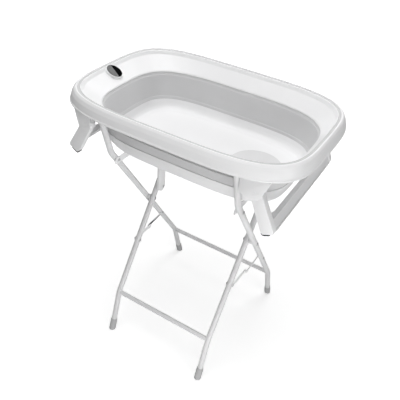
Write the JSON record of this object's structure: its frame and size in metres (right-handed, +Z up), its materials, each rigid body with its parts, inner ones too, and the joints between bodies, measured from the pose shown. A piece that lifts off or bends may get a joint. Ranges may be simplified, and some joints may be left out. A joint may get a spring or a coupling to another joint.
{
  "type": "folding baby bath with stand",
  "caption": "Oval collapsible baby bath with a wide white rim, soft grey band, floor disc and rim thermometer, carried on a folding white steel X-frame stand.",
  "frame": {"origin": "on the floor, centred under the tub", "axes": "X along the tub with the drain end at +X, Y across the tub, Z up"},
  "size_m": [0.823, 0.567, 0.9849],
  "materials": {
    "painted_tube": "satin",
    "painted_link": "satin",
    "bolt_steel": "satin",
    "grey_plastic": "matte",
    "soft_band": "matte",
    "white_plastic": "satin",
    "disc_grey": "matte",
    "black_rubber": "matte",
    "dark_plastic": "gloss",
    "dark_window": "gloss",
    "display_grey": "matte",
    "cell_steel": "satin"
  },
  "bodies": {
    "outer_frame": {"outer_tube_left": "painted_tube", "outer_tube_right": "painted_tube", "outer_crossbar": "painted_tube", "outer_foot_caps": "grey_plastic", "outer_top_plugs": "grey_plastic", "pivot_bolts": "bolt_steel", "pivot_spacers": "grey_plastic", "outer_rail_rivets": "bolt_steel", "outer_brace_rivets": "bolt_steel"},
    "inner_frame": {"inner_tube_left": "painted_tube", "inner_tube_right": "painted_tube", "inner_crossbar": "painted_tube", "inner_foot_caps": "grey_plastic", "inner_top_plugs": "grey_plastic", "inner_rail_rivets": "bolt_steel", "inner_brace_rivets": "bolt_steel", "prop_bolt": "bolt_steel"},
    "rail_outer_left": {"rail_outer_left": "painted_link"},
    "rail_outer_right": {"rail_outer_right": "painted_link"},
    "rail_inner_left": {"rail_inner_left": "painted_link"},
    "rail_inner_right": {"rail_inner_right": "painted_link"},
    "brace_outer_left": {"brace_outer_left": "painted_link"},
    "brace_outer_right": {"brace_outer_right": "painted_link"},
    "brace_inner_left": {"brace_inner_left": "painted_link"},
    "brace_inner_right": {"brace_inner_right": "painted_link"},
    "prop": {"tray_prop": "painted_link", "prop_pad": "soft_band"},
    "tub_rim": {"rim_shell": "white_plastic", "collapsible_band": "soft_band", "left_leg_brackets": "white_plastic", "right_leg_brackets": "white_plastic", "left_leg_pins": "bolt_steel", "right_leg_pins": "bolt_steel", "thermometer_cradle": "white_plastic"},
    "tray": {"base_tray": "white_plastic", "floor_disc": "disc_grey", "drain_seat": "white_plastic", "drain_seal": "black_rubber"},
    "plug": {"drain_plug": "disc_grey"},
    "leg_left": {"left_leg": "white_plastic", "left_leg_pads": "black_rubber"},
    "leg_right": {"right_leg": "white_plastic", "right_leg_pads": "black_rubber"},
    "thermometer": {"thermometer_case": "dark_plastic", "thermometer_window": "dark_window", "thermometer_display": "display_grey", "thermometer_cell": "cell_steel", "thermometer_probe": "cell_steel"}
  },
  "joints": [
    {"name": "stand_fold", "type": "hinge", "parent": "outer_frame", "child": "inner_frame", "pos_m": [0, 0, 0.496], "axis": [1, 0, 0], "range_deg": [0, 60]},
    {"name": "rail_outer_left_fold", "type": "hinge", "parent": "outer_frame", "child": "rail_outer_left", "pos_m": [-0.218, -0.16897, 0.751], "axis": [1, 0, 0], "range_deg": [0, 115]},
    {"name": "rail_inner_left_fold", "type": "hinge", "parent": "inner_frame", "child": "rail_inner_left", "pos_m": [-0.218, 0.16897, 0.751], "axis": [-1, 0, 0], "range_deg": [0, 115]},
    {"name": "brace_outer_left_fold", "type": "hinge", "parent": "outer_frame", "child": "brace_outer_left", "pos_m": [-0.218, 0.09542, 0.352], "axis": [-1, 0, 0], "range_deg": [0, 56]},
    {"name": "brace_inner_left_fold", "type": "hinge", "parent": "inner_frame", "child": "brace_inner_left", "pos_m": [-0.218, -0.09542, 0.352], "axis": [1, 0, 0], "range_deg": [0, 56]},
    {"name": "rail_outer_right_fold", "type": "hinge", "parent": "outer_frame", "child": "rail_outer_right", "pos_m": [0.218, -0.16897, 0.751], "axis": [1, 0, 0], "range_deg": [0, 115]},
    {"name": "rail_inner_right_fold", "type": "hinge", "parent": "inner_frame", "child": "rail_inner_right", "pos_m": [0.218, 0.16897, 0.751], "axis": [-1, 0, 0], "range_deg": [0, 115]},
    {"name": "brace_outer_right_fold", "type": "hinge", "parent": "outer_frame", "child": "brace_outer_right", "pos_m": [0.218, 0.09542, 0.352], "axis": [-1, 0, 0], "range_deg": [0, 56]},
    {"name": "brace_inner_right_fold", "type": "hinge", "parent": "inner_frame", "child": "brace_inner_right", "pos_m": [0.218, -0.09542, 0.352], "axis": [1, 0, 0], "range_deg": [0, 56]},
    {"name": "tub_lift_off", "type": "slide", "parent": "outer_frame", "child": "tub_rim", "axis": [0, 0, 1], "range_m": [0, 2.1]},
    {"name": "tray_collapse", "type": "slide", "parent": "tub_rim", "child": "tray", "axis": [0, 0, 1], "range_m": [0, 0.069], "deforming": ["collapsible_band"]},
    {"name": "left_leg_fold", "type": "hinge", "parent": "tub_rim", "child": "leg_left", "pos_m": [-0.293, 0, 0.887], "axis": [0, -1, 0], "range_deg": [0, 87]},
    {"name": "right_leg_fold", "type": "hinge", "parent": "tub_rim", "child": "leg_right", "pos_m": [0.293, 0, 0.887], "axis": [0, 1, 0], "range_deg": [0, 87]},
    {"name": "prop_swing", "type": "hinge", "parent": "inner_frame", "child": "prop", "pos_m": [-0.182, 0.03148, 0.54352], "axis": [-1, 0, 0], "range_deg": [0, 33]},
    {"name": "plug_lift", "type": "slide", "parent": "tray", "child": "plug", "axis": [0, 0, 1], "range_m": [0, 0.04]},
    {"name": "thermometer_pull", "type": "slide", "parent": "tub_rim", "child": "thermometer", "axis": [0.6508, 0, 0.7593], "range_m": [0, 0.03]}
  ],
  "couplings": [
    {"joint": "rail_outer_left_fold", "follows": "stand_fold", "ratio": 1.89},
    {"joint": "rail_inner_left_fold", "follows": "stand_fold", "ratio": 1.89},
    {"joint": "brace_outer_left_fold", "follows": "stand_fold", "ratio": 0.9},
    {"joint": "brace_inner_left_fold", "follows": "stand_fold", "ratio": 0.9},
    {"joint": "rail_outer_right_fold", "follows": "stand_fold", "ratio": 1.89},
    {"joint": "rail_inner_right_fold", "follows": "stand_fold", "ratio": 1.89},
    {"joint": "brace_outer_right_fold", "follows": "stand_fold", "ratio": 0.9},
    {"joint": "brace_inner_right_fold", "follows": "stand_fold", "ratio": 0.9},
    {"joint": "tub_lift_off", "follows": "stand_fold", "m_per_rad": 2},
    {"joint": "tray_collapse", "follows": "stand_fold", "m_per_rad": 0.0649},
    {"joint": "left_leg_fold", "follows": "stand_fold", "ratio": 1.44},
    {"joint": "right_leg_fold", "follows": "stand_fold", "ratio": 1.44}
  ]
}
